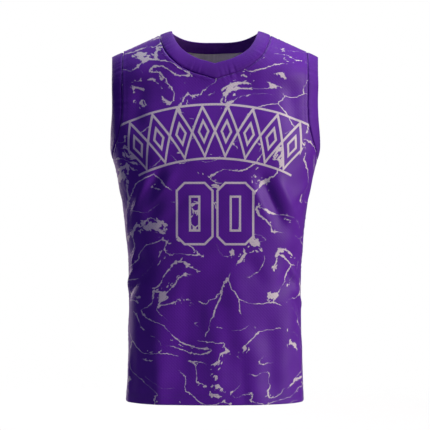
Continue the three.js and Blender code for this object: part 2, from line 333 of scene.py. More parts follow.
def body_point(turn, run):
    """Smooth body form at a turn from the centre and a run from the shoulder line, positive on the front."""
    across, forward = around(turn)
    top, height = shoulder_round(turn)
    length, round_run = np.abs(run), height * math.pi / 2
    bend = np.minimum(length / height, math.pi / 2)
    fall = np.maximum(length - round_run, 0) / (HEM_RUN - round_run)
    z = top - height * (1 - np.cos(bend)) + (HEM_Z - top + height) * fall
    behind, before = value_at(BODY_SECTIONS, "back_depth", z), value_at(BODY_SECTIONS, "front_depth", z)
    y = np.where(run < 0, behind, -before) * forward * np.sin(bend)
    return np.stack([value_at(BODY_SECTIONS, "half_width", z) * across, y, z], axis=-1)


def body_normal(turn, run, step=0.01):
    reach = step * SHOULDER_HALF_WIDTH
    sideways = body_point(turn + step, run) - body_point(turn - step, run)
    down = body_point(turn, run + reach) - body_point(turn, run - reach)
    normal = np.cross(down, sideways)
    return normal / np.linalg.norm(normal, axis=-1, keepdims=True)


def between(a, b, t):
    return a + (b - a) * t


def spaced_places(turns, runs, count):
    """Turns and runs at equal steps of the body form along a smooth curve through a few places."""
    knots = np.stack([turns * SHOULDER_HALF_WIDTH, runs], axis=-1)
    last = len(knots) - 1
    at = np.linspace(0, last, 3000)
    i = np.minimum(at.astype(int), last - 1)
    t = (at - i)[:, None]
    start, end = knots[i], knots[i + 1]
    leave = (end - knots[np.maximum(i - 1, 0)]) / 2
    arrive = (knots[np.minimum(i + 2, last)] - start) / 2
    cubic = 2 * (start - end) + leave + arrive
    square = 3 * (end - start) - 2 * leave - arrive
    curve = cubic * t**3 + square * t**2 + leave * t + start
    turn, run = curve[:, 0] / SHOULDER_HALF_WIDTH, curve[:, 1]
    reach = lengths_along(body_point(turn, run))
    wanted = np.linspace(0, reach[-1], count + 1)
    return np.interp(wanted, reach, turn), np.interp(wanted, reach, run)


def lengths_along(points):
    return np.append(0, np.cumsum(np.linalg.norm(np.diff(points, axis=0), axis=1)))


def neck_line(line, rows, count):
    return spaced_places(turn_at(rows[line + "_x"]), rows[line + "_run"], count)


def arm_line(line, count):
    return spaced_places(np.radians(ARMHOLE[line + "_turn"]), ARMHOLE[line + "_run"], count)


def neck_ring(line, count):
    """Right shoulder, centre back, left shoulder, centre front and back: turns and runs all round the neck."""
    back_turn, back_run = neck_line(line, BACK_NECK, count)
    front_turn, front_run = neck_line(line, FRONT_NECK, count)
    turn = [back_turn, -back_turn[-2:0:-1], -front_turn[:-1], front_turn[:0:-1]]
    run = [-back_run, -back_run[-2:0:-1], front_run[:-1], front_run[:0:-1]]
    return np.concatenate(turn), np.concatenate(run)


def arm_ring(line, count, side):
    """Down the front of an armhole and up its back."""
    turn, run = arm_line(line, count)
    return side * np.append(turn, turn[-2:0:-1]), np.append(run, -run[-2:0:-1])


def fold_heights(points, folds):
    height = np.zeros(points.shape[:-1])
    for x0, z0, x1, z1, width, rise in zip(*folds.values()):
        dx, dz = x1 - x0, z1 - z0
        length = math.hypot(dx, dz)
        along = ((points[..., 0] - x0) * dx + (points[..., 2] - z0) * dz) / length**2
        aside = ((points[..., 0] - x0) * dz - (points[..., 2] - z0) * dx) / length
        taper = smoothstep(along, 0, FOLD_TAPER) * (1 - smoothstep(along, 1 - FOLD_TAPER, 1))
        height += rise * taper * np.exp(-((aside / width) ** 2))
    return height


def crease_heights(points, degrees):
    height = np.zeros(points.shape[:-1])
    for turn0, z0, turn1, z1, bow, width, rise, crest in zip(*CREASES.values()):
        dx, dz = (turn1 - turn0) * DEGREE_OF_GIRTH, z1 - z0
        length = math.hypot(dx, dz)
        x = (degrees - turn0) * DEGREE_OF_GIRTH
        z = points[..., 2] - z0
        along = (x * dx + z * dz) / length**2
        aside = (x * dz - z * dx) / length - 4 * bow * along * (1 - along)
        taper = smoothstep(along, 0, CREASE_TAPER) * (1 - smoothstep(along, 1 - CREASE_TAPER, 1))
        height += rise * taper * np.exp(-((np.abs(aside) / width) ** crest))
    return height


def slack_heights(points):
    """Low, uneven waves, the same each time."""
    chance = np.random.default_rng(4)
    height = np.zeros(points.shape[:-1])
    for _ in range(SLACK_WAVES):
        direction = chance.normal(size=3) * (1, 1, 0.6)
        direction /= np.linalg.norm(direction)
        wavelength = chance.uniform(*SLACK_WAVELENGTHS)
        phase = points @ direction * (2 * math.pi / wavelength) + chance.uniform(0, 2 * math.pi)
        height += np.sin(phase + 0.8 * np.sin(phase * 0.37))
    return height * SLACK_HEIGHT / math.sqrt(SLACK_WAVES / 2)


def seam_lines():
    """Every seam as points about a millimetre apart, with the length along it at each point."""
    sides = [np.full(SIDE_POINTS, side * math.pi / 2) for side in (1, -1)]
    down = np.linspace(ARMHOLE["seam_run"][-1], HEM_RUN, SIDE_POINTS)
    shoulder = turn_at(np.linspace(FRONT_NECK["seam_x"][0], SHOULDER_SEAM_END_X, SHOULDER_POINTS))
    places = {
        "neck": neck_ring("seam", NECK_POINTS),
        "right_arm": arm_ring("seam", ARM_POINTS, 1),
        "left_arm": arm_ring("seam", ARM_POINTS, -1),
        "right_side": (sides[0], down),
        "left_side": (sides[1], down),
        "right_shoulder": (shoulder, shoulder * 0),
        "left_shoulder": (-shoulder, shoulder * 0),
    }
    lines = {name: body_point(turn, run) for name, (turn, run) in places.items()}
    return {name: (points, lengths_along(points)) for name, points in lines.items()}


SEAMS = seam_lines()


def nearest_on(points, line):
    """Distance from each point to a line of points, and which of them is nearest."""
    distance, index = np.empty(len(points)), np.empty(len(points), int)
    for start in range(0, len(points), 4000):
        chunk = points[start : start + 4000]
        squares = (chunk**2).sum(1)[:, None] + (line**2).sum(1)[None] - 2 * chunk @ line.T
        index[start : start + 4000] = squares.argmin(1)
    distance = np.linalg.norm(points - line[index], axis=1)
    return distance, index


def seam_heights(points, allowance):
    """Grooves, allowances and puckers of every seam. allowance is 1 where the seam allowance lies under the cloth."""
    flat = points.reshape(-1, 3)
    height = np.zeros(len(flat))
    for number, (line, lengths) in enumerate(SEAMS.values()):
        distance, index = nearest_on(flat, line)
        # Puckers are three waves of unlike lengths, and come and go along the seam.
        s = lengths[index] * (2 * math.pi / PUCKER_LENGTH) + number * 1.7
        wave = np.sin(s + 1.1 * np.sin(s * 0.31)) + 0.6 * np.sin(s * 0.57 + 2) + 0.4 * np.sin(s * 1.63)
        strength = 0.55 + 0.45 * np.sin(s * 0.13 + number)
        gather = np.exp(-distance / PUCKER_REACH) * (1 - np.exp(-((distance / 1.6) ** 2)))
        height += PUCKER_HEIGHT * wave * strength * gather
        height -= GROOVE_DEPTH * np.exp(-((distance / GROOVE_REACH) ** 2))
        step = smoothstep(distance, 0.8, 2.6) * (1 - smoothstep(distance, ALLOWANCE_WIDTH - 1, ALLOWANCE_WIDTH + 2.5))
        height += allowance * ALLOWANCE_RISE * step
    return height.reshape(points.shape[:-1])


def cloth_point(turn, run, lift=0.0, allowance=1.0):
    """Folded cloth at places on the body form, raised out of it by lift, and the outward direction of the form."""
    base, normal = body_point(turn, run), body_normal(turn, run)
    degrees = np.degrees(turn)
    from_front = np.where(run < 0, np.sign(degrees) * 180 - degrees, degrees)
    folds = np.where(run < 0, fold_heights(base, BACK_FOLDS), fold_heights(base, FRONT_FOLDS))
    fade = smoothstep(np.abs(run), 0, SHOULDER_FADE)
    height = folds * fade * smoothstep(90 - np.abs(degrees), 0, SIDE_FADE)
    height += (crease_heights(base, from_front) + slack_heights(base)) * fade
    height += seam_heights(base, allowance)
    return base + normal * (height + lift)[..., None], normal


def print_place(turn, run):
    """Where a place of the form lies on the flat cloth: across from the centre and up, in metres."""
    steps = np.linspace(0, 1, 41)
    points = body_point(turn[..., None] * steps, np.broadcast_to(run[..., None], turn.shape + (41,)))
    across = np.linalg.norm(np.diff(points[..., :2], axis=-2), axis=-1).sum(-1) * np.sign(turn)
    top, height = shoulder_round(turn)
    rise = np.maximum(height * math.pi / 2 - np.abs(run), 0)
    up = np.where(rise > 0, top - height + rise, body_point(turn, run)[..., 2])
    return np.stack([across, up], axis=-1) * MM


def select_only(piece):
    bpy.ops.object.select_all(action="DESELECT")
    piece.select_set(True)
    bpy.context.view_layer.objects.active = piece


def apply_modifiers(piece):
    select_only(piece)
    for modifier in list(piece.modifiers):
        bpy.ops.object.modifier_apply(modifier=modifier.name)


def make_mesh(name, points, faces, flat=None):
    """A smooth mesh from points in millimetres, with the flat cloth's coordinates as its UV map."""
    mesh = bpy.data.meshes.new(name)
    mesh.from_pydata((points.reshape(-1, 3) * MM).tolist(), [], faces)
    mesh.polygons.foreach_set("use_smooth", np.ones(len(mesh.polygons), bool))
    if flat is not None:
        corners = np.empty(len(mesh.loops), int)
        mesh.loops.foreach_get("vertex_index", corners)
        layer = mesh.uv_layers.new(name="cloth")
        layer.data.foreach_set("uv", flat.reshape(-1, 2)[corners].astype(np.float32).ravel())
    mesh.update()
    piece = bpy.data.objects.new(name, mesh)
    bpy.context.scene.collection.objects.link(piece)
    return piece


def cells(numbers, closed=False):
    """Four-cornered faces between the rows of a grid of vertex numbers."""
    rows = np.concatenate([numbers, numbers[:1]]) if closed else numbers
    corners = [rows[:-1, :-1], rows[1:, :-1], rows[1:, 1:], rows[:-1, 1:]]
    return np.stack([c.ravel() for c in corners], axis=-1)


def thicken(piece, thickness, materials):
    """Gives a sheet its thickness. The second material is on its inner side and its raw edges."""
    for material in materials:
        piece.data.materials.append(material)
    wall = piece.modifiers.new("thickness", "SOLIDIFY")
    wall.thickness = thickness * MM
    wall.offset = 0
    wall.material_offset = len(materials) - 1
    wall.material_offset_rim = len(materials) - 1
    apply_modifiers(piece)


def crowd(t):
    """Columns closer together at both ends of a row, where the seams are."""
    return t - EDGE_CROWDING * np.sin(2 * math.pi * t) / (2 * math.pi)


def panel(name, side, materials):
    """A panel from the shoulder line to the hem, turned up inside. side is 1 for the front and -1 for the back."""
    neck_turn, neck_run = neck_line("seam", FRONT_NECK if side > 0 else BACK_NECK, NECK_ROWS)
    arm_turn, arm_run = arm_line("seam", ARM_ROWS)
    chest = between(neck_run[-1], CHEST_RUN, np.linspace(0, 1, ARM_ROWS - NECK_ROWS + 1)[1:])
    below = np.linspace(0, 1, BODY_ROWS - ARM_ROWS + 1)[1:]
    inner_turn = np.append(neck_turn, np.zeros(BODY_ROWS - NECK_ROWS))
    inner_run = np.concatenate([neck_run, chest, between(CHEST_RUN, HEM_RUN, below)])
    outer_turn = np.append(arm_turn, np.full(BODY_ROWS - ARM_ROWS, math.pi / 2))
    outer_run = np.append(arm_run, between(arm_run[-1], HEM_RUN, below))
    t = crowd(np.linspace(0, 1, HALF_COLUMNS + 1))
    turn = between(inner_turn[:, None], outer_turn[:, None], t)
    run = between(inner_run[:, None], outer_run[:, None], t) * side

    # The hem goes round a small fold and up inside.
    fold = np.linspace(0, math.pi, FOLD_STEPS + 1)
    up = np.linspace(0, HEM_ALLOWANCE, 7)[1:]
    below_edge = np.append(HEM_FOLD_RADIUS * np.sin(fold), -up)
    inward = np.append(HEM_FOLD_RADIUS * (1 - np.cos(fold)), np.full(len(up), 2 * HEM_FOLD_RADIUS))
    hem_run = side * (HEM_RUN - HEM_FOLD_RADIUS + below_edge)
    turn = np.concatenate([turn[:-1], np.broadcast_to(turn[-1], (len(hem_run), len(t)))])
    run = np.concatenate([run[:-1], np.broadcast_to(hem_run[:, None], (len(hem_run), len(t)))])
    lift = np.concatenate([np.zeros((BODY_ROWS, len(t))), np.broadcast_to(-inward[:, None], (len(hem_run), len(t)))])

    halves = [cloth_point(turn, run, lift)[0], cloth_point(-turn, run, lift)[0]]
    flat = [print_place(turn, run), print_place(-turn, run)]
    count = turn.size
    right = np.arange(count).reshape(turn.shape)
    left = right + count
    left[NECK_ROWS:, 0] = right[NECK_ROWS:, 0]
    faces = np.concatenate([cells(right), cells(left)[:, ::-1]])
    if side < 0:
        faces = faces[:, ::-1]
    piece = make_mesh(name, np.concatenate(halves), faces.tolist(), np.concatenate(flat))
    drop_loose_points(piece)
    thicken(piece, PANEL_THICKNESS, materials)
    return piece


def drop_loose_points(piece):
    select_only(piece)
    bpy.ops.object.mode_set(mode="EDIT")
    bpy.ops.mesh.select_all(action="SELECT")
    bpy.ops.mesh.delete_loose()
    bpy.ops.object.mode_set(mode="OBJECT")


def band(name, seam, edge, materials):
    """A band folded double: out from the seam on the outside, round the fold at its edge, and back inside."""
    t = np.linspace(0, 1, BAND_COLUMNS + 1)
    half = BAND_THICKNESS / 2 + BAND_SLACK
    puff = half + BAND_PUFF * np.sin(math.pi * t) ** 0.7
    fold = np.linspace(0, math.pi, FOLD_STEPS + 1)[1:-1]
    width = np.linalg.norm(body_point(*edge) - body_point(*seam), axis=-1)
    across = np.concatenate([t, 1 + 0 * fold, t[::-1]])
    beyond = np.concatenate([0 * t, half * np.sin(fold), 0 * t])
    share = across + (beyond - half * (across > 0.999)) / width.mean()
    lift = np.concatenate([puff, half * np.cos(fold), -puff[::-1]])
    turn = between(seam[0][:, None], edge[0][:, None], share)
    run = between(seam[1][:, None], edge[1][:, None], share)
    points = cloth_point(turn, run, np.broadcast_to(lift, turn.shape), 0.0)[0]
    numbers = np.arange(turn.size).reshape(turn.shape)
    along = lengths_along(body_point(*[between(s, e, 0.5) for s, e in zip(seam, edge)]))
    round_fold = np.append(0, np.cumsum(np.hypot(np.diff(share) * width.mean(), np.diff(lift))))
    flat = np.stack(np.broadcast_arrays(along[:, None], round_fold[None]), axis=-1) * MM
    piece = make_mesh(name, points, cells(numbers, closed=True).tolist(), flat)
    face_outwards(piece)
    thicken(piece, BAND_THICKNESS, materials)
    return piece


def face_outwards(piece):
    """Turns a sheet over if its first face, on the outer side, looks to the body's middle."""
    face = piece.data.polygons[0]
    middle = Vector((0, 0, face.center.z))
    if (face.center - middle).dot(face.normal) < 0:
        piece.data.flip_normals()


def stitch_form():
    """One stitch of thread along X, thick in the middle, its ends down in the cloth."""
    bpy.ops.object.select_all(action="DESELECT")
    bpy.ops.mesh.primitive_uv_sphere_add(segments=6, ring_count=5, radius=0.5)
    bead = bpy.context.object
    bpy.ops.object.mode_set(mode="EDIT")
    bpy.ops.mesh.select_all(action="SELECT")
    bpy.ops.transform.rotate(value=math.pi / 2, orient_axis="Y", center_override=(0, 0, 0))
    bpy.ops.transform.resize(value=(STITCH_LENGTH, THREAD_THICKNESS, THREAD_THICKNESS))
    bpy.ops.object.mode_set(mode="OBJECT")
    points = np.array([v.co for v in bead.data.vertices])
    faces = [list(face.vertices) for face in bead.data.polygons]
    bpy.data.objects.remove(bead)
    return points, faces


def offset_places(turn, run, distance):
    """Places at a distance to the side of a line of places, along the body form."""
    step = 0.002
    point = body_point(turn, run)
    by_turn = (body_point(turn + step, run) - point) / step
    by_run = (body_point(turn, run + step) - point) / step
    along = np.gradient(point, axis=0)
    aside = np.cross(body_normal(turn, run), along)
    aside *= distance / np.linalg.norm(aside, axis=-1, keepdims=True)
    a, b = (by_turn**2).sum(-1), (by_run**2).sum(-1)
    c = (by_turn * by_run).sum(-1)
    p, q = (by_turn * aside).sum(-1), (by_run * aside).sum(-1)
    determinant = a * b - c * c
    return turn + (p * b - q * c) / determinant, run + (q * a - p * c) / determinant


def at_lengths(wanted, lengths, values):
    return np.stack([np.interp(wanted, lengths, values[:, axis]) for axis in range(3)], axis=-1)


def stitches(name, lines, material):
    """Rows of stitches along lines of places, lying on the panel's face."""
    form, form_faces = stitch_form()
    points, faces, count = [], [], 0
    for turn, run in lines:
        path, normal = cloth_point(turn, run, PANEL_THICKNESS / 2 + THREAD_LIFT)
        reach = lengths_along(path)
        middles = np.arange(STITCH_LENGTH, reach[-1] - STITCH_LENGTH, STITCH_LENGTH + STITCH_GAP)
        place = at_lengths(middles, reach, path)
        ahead = at_lengths(middles + 1, reach, path) - place
        ahead /= np.linalg.norm(ahead, axis=1, keepdims=True)
        side = np.cross(at_lengths(middles, reach, normal), ahead)
        side /= np.linalg.norm(side, axis=1, keepdims=True)
        turned = form @ np.stack([ahead, side, np.cross(ahead, side)], axis=1)
        points.append((turned + place[:, None]).reshape(-1, 3))
        for _ in middles:
            faces += [[corner + count for corner in face] for face in form_faces]
            count += len(form)
    piece = make_mesh(name, np.concatenate(points), faces)
    piece.data.materials.append(material)
    return piece


# Kinds of shader node that come often
MATH = "ShaderNodeMath"
VECTOR_MATH = "ShaderNodeVectorMath"
NOISE = "ShaderNodeTexNoise"
MIX = "ShaderNodeMix"


def linear(colour):
    """An sRGB hex colour as linear red, green, blue and alpha."""
    parts = [int(colour[i : i + 2], 16) / 255 for i in (1, 3, 5)]
    return [p / 12.92 if p <= 0.04045 else ((p + 0.055) / 1.055) ** 2.4 for p in parts] + [1.0]


def add(tree, kind, inputs=None, **settings):
    """Adds a node. inputs gives sockets, by name or number, a value, or the node or socket that feeds them."""
    made = tree.nodes.new(kind)
    for setting, value in settings.items():
        setattr(made, setting, value)
    for key, value in (inputs or {}).items():
        if isinstance(value, bpy.types.Node):
            value = value.outputs[0]
        if isinstance(value, bpy.types.NodeSocket):
            tree.links.new(value, made.inputs[key])
        else:
            made.inputs[key].default_value = value
    return made


def new_material(name):
    material = bpy.data.materials.new(name)
    material.use_nodes = True
    tree = material.node_tree
    shader = tree.nodes["Principled BSDF"]
    return material, tree, shader


# Printed numerals and ornaments, in metres on the flat cloth
FRONT_NUMBER = dict(middle=0.0415, up=-0.356, half_width=0.0365, half_height=0.0625, chamfer=0.016,
                    slot_half_width=0.0095, slot_half_height=0.0345, line=0.0044)
BACK_NUMBER = dict(middle=0.0725, up=-0.317, half_width=0.0645, half_height=0.104, chamfer=0.021,
                   slot_half_width=0.019, slot_half_height=0.0595, line=0.005)
FRONT_ARCH = dict(radius=0.44, up=-0.188, half_height=0.051, shapes=8, pitch=0.0465, line=0.0044)
BACK_ARCH = dict(radius=0.25, up=-0.108, half_height=0.038, shapes=8, pitch=0.0455, line=0.0034)


def numeral_masks(tree, u, v, number):
    """Two block zeros side by side: where their outlines are, and where their plain bodies are."""
    x = add(tree, MATH, {0: u}, operation="ABSOLUTE")
    x = add(tree, MATH, {0: x, 1: number["middle"]}, operation="SUBTRACT")
    x = add(tree, MATH, {0: x}, operation="ABSOLUTE")
    y = add(tree, MATH, {0: v, 1: number["up"]}, operation="SUBTRACT")
    y = add(tree, MATH, {0: y}, operation="ABSOLUTE")
    corner = add(tree, MATH, {0: x, 1: y}, operation="ADD")
    reach = number["half_width"] + number["half_height"] - number["chamfer"]
    corner = add(tree, MATH, {0: corner, 1: reach}, operation="SUBTRACT")
    corner = add(tree, MATH, {0: corner, 1: math.sqrt(0.5)}, operation="MULTIPLY")
    beyond_x = add(tree, MATH, {0: x, 1: number["half_width"]}, operation="SUBTRACT")
    beyond_y = add(tree, MATH, {0: y, 1: number["half_height"]}, operation="SUBTRACT")
    outer = add(tree, MATH, {0: beyond_x, 1: beyond_y}, operation="MAXIMUM")
    outer = add(tree, MATH, {0: outer, 1: corner}, operation="MAXIMUM")
    slot_x = add(tree, MATH, {0: x, 1: number["slot_half_width"]}, operation="SUBTRACT")
    slot_y = add(tree, MATH, {0: y, 1: number["slot_half_height"]}, operation="SUBTRACT")
    slot = add(tree, MATH, {0: slot_x, 1: slot_y}, operation="MAXIMUM")
    outside_slot = add(tree, MATH, {0: slot, 1: -1}, operation="MULTIPLY")
    body = add(tree, MATH, {0: outer, 1: outside_slot}, operation="MAXIMUM")
    edge = add(tree, MATH, {0: body}, operation="ABSOLUTE")
    outline = add(tree, MATH, {0: edge, 1: number["line"] / 2}, operation="LESS_THAN")
    inside = add(tree, MATH, {0: body, 1: 0.0}, operation="LESS_THAN")
    return outline, inside


def arch_masks(tree, u, v, arch):
    """An arched row of tall outlined lozenges, one in another, between two lines."""
    height = add(tree, MATH, {0: v, 1: arch["radius"] - arch["up"]}, operation="ADD")
    square_u = add(tree, MATH, {0: u, 1: u}, operation="MULTIPLY")
    squares = add(tree, MATH, {0: height, 1: height, 2: square_u}, operation="MULTIPLY_ADD")
    radius = add(tree, MATH, {0: squares}, operation="SQRT")
    y = add(tree, MATH, {0: radius, 1: arch["radius"]}, operation="SUBTRACT")
    y = add(tree, MATH, {0: y}, operation="ABSOLUTE")
    angle = add(tree, MATH, {0: u, 1: height}, operation="ARCTAN2")
    along = add(tree, MATH, {0: angle, 1: arch["radius"]}, operation="MULTIPLY")
    x = add(tree, MATH, {0: along, 1: arch["pitch"] / 2}, operation="PINGPONG")
    x = add(tree, MATH, {0: x, 1: arch["pitch"] / 2}, operation="SUBTRACT")
    x = add(tree, MATH, {0: x}, operation="ABSOLUTE")
    half_width = arch["pitch"] / 2
    half_height = arch["half_height"]
    slope = math.hypot(half_width, half_height)
    x_part = add(tree, MATH, {0: x, 1: half_height / slope}, operation="MULTIPLY")
    distance = add(tree, MATH, {0: y, 1: half_width / slope, 2: x_part}, operation="MULTIPLY_ADD")
    lozenge = add(tree, MATH, {0: distance, 1: half_width * half_height / slope}, operation="SUBTRACT")
    inner = add(tree, MATH, {0: distance, 1: 0.42 * half_width * half_height / slope}, operation="SUBTRACT")
    rail = add(tree, MATH, {0: y, 1: half_height + arch["line"]}, operation="SUBTRACT")
    nearest = add(tree, MATH, {0: lozenge}, operation="ABSOLUTE")
    for other in (inner, rail):
        size = add(tree, MATH, {0: other}, operation="ABSOLUTE")
        nearest = add(tree, MATH, {0: nearest, 1: size}, operation="MINIMUM")
    line = add(tree, MATH, {0: nearest, 1: arch["line"] / 2}, operation="LESS_THAN")
    far_side = add(tree, MATH, {0: along}, operation="ABSOLUTE")
    in_row = add(tree, MATH, {0: far_side, 1: arch["shapes"] * half_width + arch["line"] / 2}, operation="LESS_THAN")
    in_band = add(tree, MATH, {0: rail, 1: arch["line"] / 2}, operation="LESS_THAN")
    in_row = add(tree, MATH, {0: in_row, 1: in_band}, operation="MULTIPLY")
    outline = add(tree, MATH, {0: line, 1: in_row}, operation="MULTIPLY")
    inside = add(tree, MATH, {0: lozenge, 1: 0.0}, operation="LESS_THAN")
    inside = add(tree, MATH, {0: inside, 1: in_row}, operation="MULTIPLY")
    return outline, inside


def marble_mask(tree, place):
    """Veins of torn marble: long thin strands that taper off, cracks that cross them, and ragged blots where they
    swell."""
    drift = add(tree, NOISE, {"Vector": place, "Scale": 5.0, "Detail": 2.0})
    drift = add(tree, VECTOR_MATH, {0: drift.outputs["Color"], 1: (0.5, 0.5, 0.5)}, operation="SUBTRACT")
    ragged = add(tree, NOISE, {"Vector": place, "Scale": 85.0, "Detail": 4.0, "Roughness": 0.7})
    ragged = add(tree, VECTOR_MATH, {0: ragged.outputs["Color"], 1: (0.5, 0.5, 0.5)}, operation="SUBTRACT")
    bent = add(tree, VECTOR_MATH, {0: drift, 1: (0.18, 0.18, 0.0), 2: place}, operation="MULTIPLY_ADD")
    bent = add(tree, VECTOR_MATH, {0: ragged, 1: (0.012, 0.012, 0.0), 2: bent}, operation="MULTIPLY_ADD")
    presence = add(tree, NOISE, {"Vector": bent, "Scale": 9.0, "Detail": 2.0})
    swelling = add(tree, NOISE, {"Vector": bent, "Scale": 15.0, "Detail": 4.0, "Roughness": 0.6})
    swell = add(tree, "ShaderNodeMapRange", {"Value": swelling, "From Min": 0.57, "From Max": 0.72})

    drawn = add(tree, "ShaderNodeMapping", {"Vector": bent, "Scale": (0.75, 1.3, 1.0), "Rotation": (0, 0, -0.35)})
    flow = add(tree, NOISE, {"Vector": drawn, "Scale": 6.0, "Detail": 2.5, "Roughness": 0.45})
    strand = add(tree, MATH, {0: flow, 1: 0.042}, operation="PINGPONG")
    reach = add(tree, "ShaderNodeMapRange", {"Value": presence, "From Min": 0.43, "From Max": 0.6,
                                             "To Min": -0.002, "To Max": 0.0042})
    reach = add(tree, MATH, {0: swell, 1: 0.03, 2: reach}, operation="MULTIPLY_ADD")
    breaks = add(tree, NOISE, {"Vector": place, "Scale": 75.0, "Detail": 3.0, "Roughness": 0.6})
    broken = add(tree, "ShaderNodeMapRange", {"Value": breaks, "From Min": 0.36, "From Max": 0.55,
                                              "To Min": 0.15, "To Max": 1.25})
    reach = add(tree, MATH, {0: reach, 1: broken}, operation="MULTIPLY")
    strands = add(tree, MATH, {0: strand, 1: reach}, operation="LESS_THAN")
    beside = add(tree, MATH, {0: reach, 1: 3.0}, operation="MULTIPLY")
    beside = add(tree, MATH, {0: strand, 1: beside}, operation="LESS_THAN")
    specks = add(tree, NOISE, {"Vector": bent, "Scale": 120.0, "Detail": 1.0})
    specks = add(tree, MATH, {0: specks, 1: 0.64}, operation="GREATER_THAN")
    specks = add(tree, MATH, {0: specks, 1: beside}, operation="MULTIPLY")
    strands = add(tree, MATH, {0: strands, 1: specks}, operation="MAXIMUM")

    laid = add(tree, "ShaderNodeMapping", {"Vector": bent, "Scale": (1.0, 1.35, 1.0), "Rotation": (0, 0, 0.7)})
    crack = add(tree, "ShaderNodeTexVoronoi", {"Vector": laid, "Scale": 9.5}, feature="DISTANCE_TO_EDGE",
                voronoi_dimensions="2D")
    wide = add(tree, "ShaderNodeMapRange", {"Value": presence, "From Min": 0.5, "From Max": 0.37,
                                            "To Min": -0.006, "To Max": 0.014})
    wide = add(tree, MATH, {0: swell, 1: 0.09, 2: wide}, operation="MULTIPLY_ADD")
    cracks = add(tree, MATH, {0: crack, 1: wide}, operation="LESS_THAN")
    return add(tree, MATH, {0: strands, 1: cracks}, operation="MAXIMUM")


def knit_relief(tree, place, pitch):
    """Height of a knit with small eyelets in staggered rows, pitch metres apart."""
    waves = 2 * math.pi / pitch
    scaled = add(tree, VECTOR_MATH, {0: place, 1: (waves, waves, 0)}, operation="MULTIPLY")
    split = add(tree, "ShaderNodeSeparateXYZ", {0: scaled})
    a = add(tree, MATH, {0: split.outputs[0], 1: split.outputs[1]}, operation="ADD")
    b = add(tree, MATH, {0: split.outputs[0], 1: split.outputs[1]}, operation="SUBTRACT")
    wave_a = add(tree, MATH, {0: a}, operation="COSINE")
    wave_b = add(tree, MATH, {0: b}, operation="COSINE")
    both = add(tree, MATH, {0: wave_a, 1: wave_b}, operation="ADD")
    return add(tree, "ShaderNodeMapRange", {"Value": both, "From Min": 0.7, "From Max": 2.0})


# On cloth of this kind the eyelets are usually about 4.2 mm apart and the ribs about 1.6 mm. Both are too fine to
# show at the photograph's size, so they are drawn as coarse as they need to show.
KNIT_PITCH = 0.0062
RIB_PITCH = 0.0022
PURPLE = "#520f92"
DEEP_PURPLE = "#44087f"
PRINT_GREY = "#b4b0b9"
EYELET_SHADE = "#140038"
SHEEN_TINT = "#eadbe8"
FRONT_MARBLE = (1.91, 8.47, 0.0)
BACK_MARBLE = (7.61, 4.93, 0.0)


def printed_knit(name, number, arch, shift):
    """Smooth polyester knit, printed by sublimation. The dye sits in the yarn, so the print has no edge or gloss of
    its own, and the fine eyelets give the colour a soft grain and a low sheen."""
    material, tree, shader = new_material(name)
    place = add(tree, "ShaderNodeUVMap", uv_map="cloth")
    split = add(tree, "ShaderNodeSeparateXYZ", {0: place})
    u, v = split.outputs[0], split.outputs[1]
    moved = add(tree, "ShaderNodeMapping", {"Vector": place, "Location": shift})
    veins = marble_mask(tree, moved)
    number_line, number_body = numeral_masks(tree, u, v, number)
    arch_line, arch_body = arch_masks(tree, u, v, arch)
    plain = add(tree, MATH, {0: number_body, 1: arch_body}, operation="MAXIMUM")
    bare = add(tree, MATH, {0: 1.0, 1: plain}, operation="SUBTRACT")
    veins = add(tree, MATH, {0: veins, 1: bare}, operation="MULTIPLY")
    lines = add(tree, MATH, {0: number_line, 1: arch_line}, operation="MAXIMUM")
    grey = add(tree, MATH, {0: lines, 1: veins}, operation="MAXIMUM")
    mottle = add(tree, NOISE, {"Vector": place, "Scale": 34.0, "Detail": 3.0})
    dye = add(tree, MIX, {"Factor": mottle, "A": linear(DEEP_PURPLE), "B": linear(PURPLE)}, data_type="RGBA")
    relief = knit_relief(tree, place, KNIT_PITCH)
    printed = add(tree, MIX, {"Factor": grey, "A": dye.outputs["Result"], "B": linear(PRINT_GREY)}, data_type="RGBA")
    depth = add(tree, MATH, {0: relief, 1: 0.28}, operation="MULTIPLY")
    shaded = add(tree, MIX, {"Factor": depth, "A": printed.outputs["Result"], "B": linear(EYELET_SHADE)},
                 data_type="RGBA")
    bump = add(tree, "ShaderNodeBump", {"Height": relief, "Strength": 0.35, "Distance": 0.0006}, invert=True)
    tree.links.new(shaded.outputs["Result"], shader.inputs["Base Color"])
    tree.links.new(bump.outputs[0], shader.inputs["Normal"])
    shader.inputs["Roughness"].default_value = 0.55
    shader.inputs["Specular IOR Level"].default_value = 0.24
    shader.inputs["Sheen Weight"].default_value = 0.18
    shader.inputs["Sheen Roughness"].default_value = 0.45
    shader.inputs["Sheen Tint"].default_value = linear(SHEEN_TINT)
    return material


def wrong_side():
    """The unprinted back of the knit: matt grey."""
    material, tree, shader = new_material("unprinted_knit_back")
    place = add(tree, "ShaderNodeUVMap", uv_map="cloth")
    relief = knit_relief(tree, place, KNIT_PITCH)
    mottle = add(tree, NOISE, {"Vector": place, "Scale": 40.0, "Detail": 3.0})
    grey = add(tree, MIX, {"Factor": mottle, "A": linear("#cfcfce"), "B": linear("#dededd")}, data_type="RGBA")
    bump = add(tree, "ShaderNodeBump", {"Height": relief, "Strength": 0.3, "Distance": 0.0006})
    tree.links.new(grey.outputs["Result"], shader.inputs["Base Color"])
    tree.links.new(bump.outputs[0], shader.inputs["Normal"])
    shader.inputs["Roughness"].default_value = 0.85
    shader.inputs["Specular IOR Level"].default_value = 0.2
    return material


